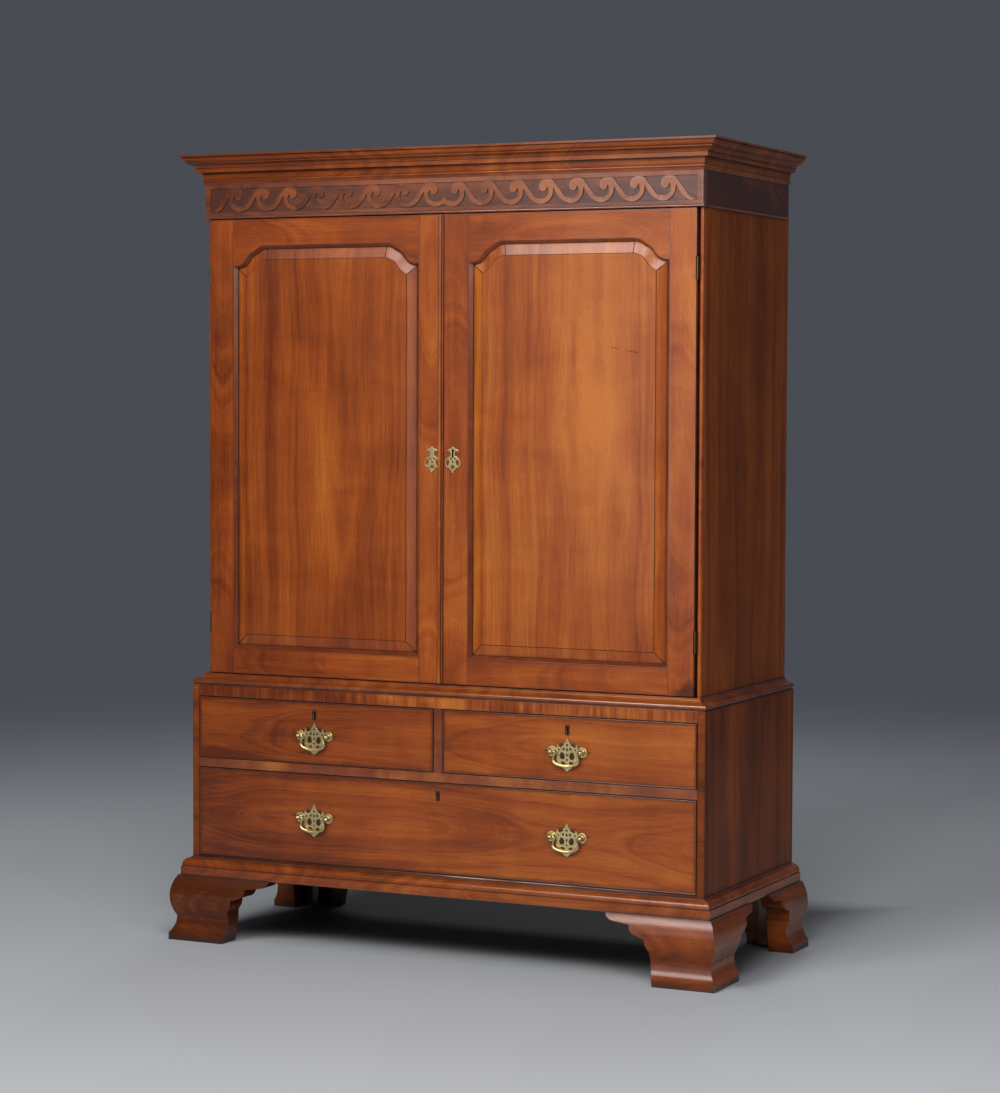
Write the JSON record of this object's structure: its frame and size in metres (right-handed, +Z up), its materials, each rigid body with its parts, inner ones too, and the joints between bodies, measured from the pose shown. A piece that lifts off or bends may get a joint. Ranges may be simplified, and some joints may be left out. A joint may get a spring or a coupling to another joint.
{
  "type": "linen press",
  "caption": "Mahogany linen press: a cupboard with panelled doors and sliding trays on a base of drawers with ogee bracket feet.",
  "frame": {"origin": "on the floor under the middle of the piece's bounding box", "axes": "+Z up, +X to the right of someone facing the doors, the doors face -Y"},
  "size_m": [1.5, 0.653, 2],
  "materials": {
    "mahogany": "figured mahogany, french polished and waxed to a deep red brown",
    "mahogany_panel": "flame figured mahogany boards, polished",
    "oak": "plain quarter-sawn oak, unpolished inside",
    "pine": "rough planed pine, darkened with age",
    "brass": "cast brass with a soft, slightly green patina",
    "lock_iron": "forged iron, dark and oiled"
  },
  "bodies": {
    "cabinet": {"cornice_moulding": "mahogany", "cornice_top_board": "pine", "frieze_boards": "mahogany", "frieze_scroll": "mahogany", "upper_side_left": "mahogany", "upper_side_right": "mahogany", "upper_top_board": "mahogany", "upper_bottom_board": "mahogany", "upper_back_boards": "pine", "door_edge_beads": "mahogany", "tray_runners": "oak", "tray_1": "mahogany", "tray_2": "mahogany", "tray_3": "mahogany", "tray_4": "mahogany", "waist_moulding": "mahogany", "base_sides": "mahogany", "base_top_board": "pine", "base_front_rails": "mahogany", "base_bottom_board": "pine", "base_dust_board": "oak", "drawer_divider": "mahogany", "drawer_runners": "oak", "base_back_boards": "pine", "plinth_moulding": "mahogany", "foot_front_left": "mahogany", "foot_front_right": "mahogany", "foot_back_left": "mahogany", "foot_back_right": "mahogany", "hinge_case_leaves": "brass"},
    "door_left": {"door_left_frame": "mahogany", "door_left_panel": "mahogany_panel", "door_left_escutcheon": "brass", "door_left_hinge_leaves": "brass"},
    "door_right": {"door_right_frame": "mahogany", "door_right_panel": "mahogany_panel", "door_right_escutcheon": "brass", "door_right_hinge_leaves": "brass", "door_lock": "lock_iron"},
    "door_lock_bolt": {"door_lock_bolt": "lock_iron"},
    "drawer_left": {"drawer_left_front": "mahogany_panel", "drawer_left_box": "oak", "drawer_left_handle": "brass", "drawer_left_lock": "lock_iron"},
    "drawer_left_lock_bolt": {"drawer_left_lock_bolt": "lock_iron"},
    "drawer_left_bail": {"drawer_left_bail": "brass"},
    "drawer_right": {"drawer_right_front": "mahogany_panel", "drawer_right_box": "oak", "drawer_right_handle": "brass", "drawer_right_lock": "lock_iron"},
    "drawer_right_lock_bolt": {"drawer_right_lock_bolt": "lock_iron"},
    "drawer_right_bail": {"drawer_right_bail": "brass"},
    "drawer_long": {"drawer_long_front": "mahogany_panel", "drawer_long_box": "oak", "drawer_long_handles": "brass", "drawer_long_lock": "lock_iron"},
    "drawer_long_lock_bolt": {"drawer_long_lock_bolt": "lock_iron"},
    "drawer_long_bail_left": {"drawer_long_bail_left": "brass"},
    "drawer_long_bail_right": {"drawer_long_bail_right": "brass"}
  },
  "joints": [
    {"name": "door_left_hinge", "type": "hinge", "parent": "cabinet", "child": "door_left", "pos_m": [-0.6649, -0.2535, 1.256], "axis": [0, 0, -1], "range_deg": [0, 170]},
    {"name": "door_right_hinge", "type": "hinge", "parent": "cabinet", "child": "door_right", "pos_m": [0.6649, -0.2535, 1.256], "axis": [0, 0, 1], "range_deg": [0, 170]},
    {"name": "door_lock_bolt_slide", "type": "slide", "parent": "door_right", "child": "door_lock_bolt", "axis": [-1, 0, 0], "range_m": [0, 0.009]},
    {"name": "drawer_left_slide", "type": "slide", "parent": "cabinet", "child": "drawer_left", "axis": [0, -1, 0], "range_m": [0, 0.45]},
    {"name": "drawer_left_lock_bolt_slide", "type": "slide", "parent": "drawer_left", "child": "drawer_left_lock_bolt", "axis": [0, 0, 1], "range_m": [0, 0.009]},
    {"name": "drawer_right_slide", "type": "slide", "parent": "cabinet", "child": "drawer_right", "axis": [0, -1, 0], "range_m": [0, 0.45]},
    {"name": "drawer_right_lock_bolt_slide", "type": "slide", "parent": "drawer_right", "child": "drawer_right_lock_bolt", "axis": [0, 0, 1], "range_m": [0, 0.009]},
    {"name": "drawer_long_slide", "type": "slide", "parent": "cabinet", "child": "drawer_long", "axis": [0, -1, 0], "range_m": [0, 0.45]},
    {"name": "drawer_long_lock_bolt_slide", "type": "slide", "parent": "drawer_long", "child": "drawer_long_lock_bolt", "axis": [0, 0, 1], "range_m": [0, 0.009]},
    {"name": "drawer_left_bail_hinge", "type": "hinge", "parent": "drawer_left", "child": "drawer_left_bail", "pos_m": [-0.34825, -0.292, 0.541], "axis": [-1, 0, 0], "range_deg": [0, 165]},
    {"name": "drawer_right_bail_hinge", "type": "hinge", "parent": "drawer_right", "child": "drawer_right_bail", "pos_m": [0.34825, -0.292, 0.541], "axis": [-1, 0, 0], "range_deg": [0, 165]},
    {"name": "drawer_long_bail_left_hinge", "type": "hinge", "parent": "drawer_long", "child": "drawer_long_bail_left", "pos_m": [-0.34825, -0.292, 0.334], "axis": [-1, 0, 0], "range_deg": [0, 165]},
    {"name": "drawer_long_bail_right_hinge", "type": "hinge", "parent": "drawer_long", "child": "drawer_long_bail_right", "pos_m": [0.34825, -0.292, 0.334], "axis": [-1, 0, 0], "range_deg": [0, 165]}
  ]
}
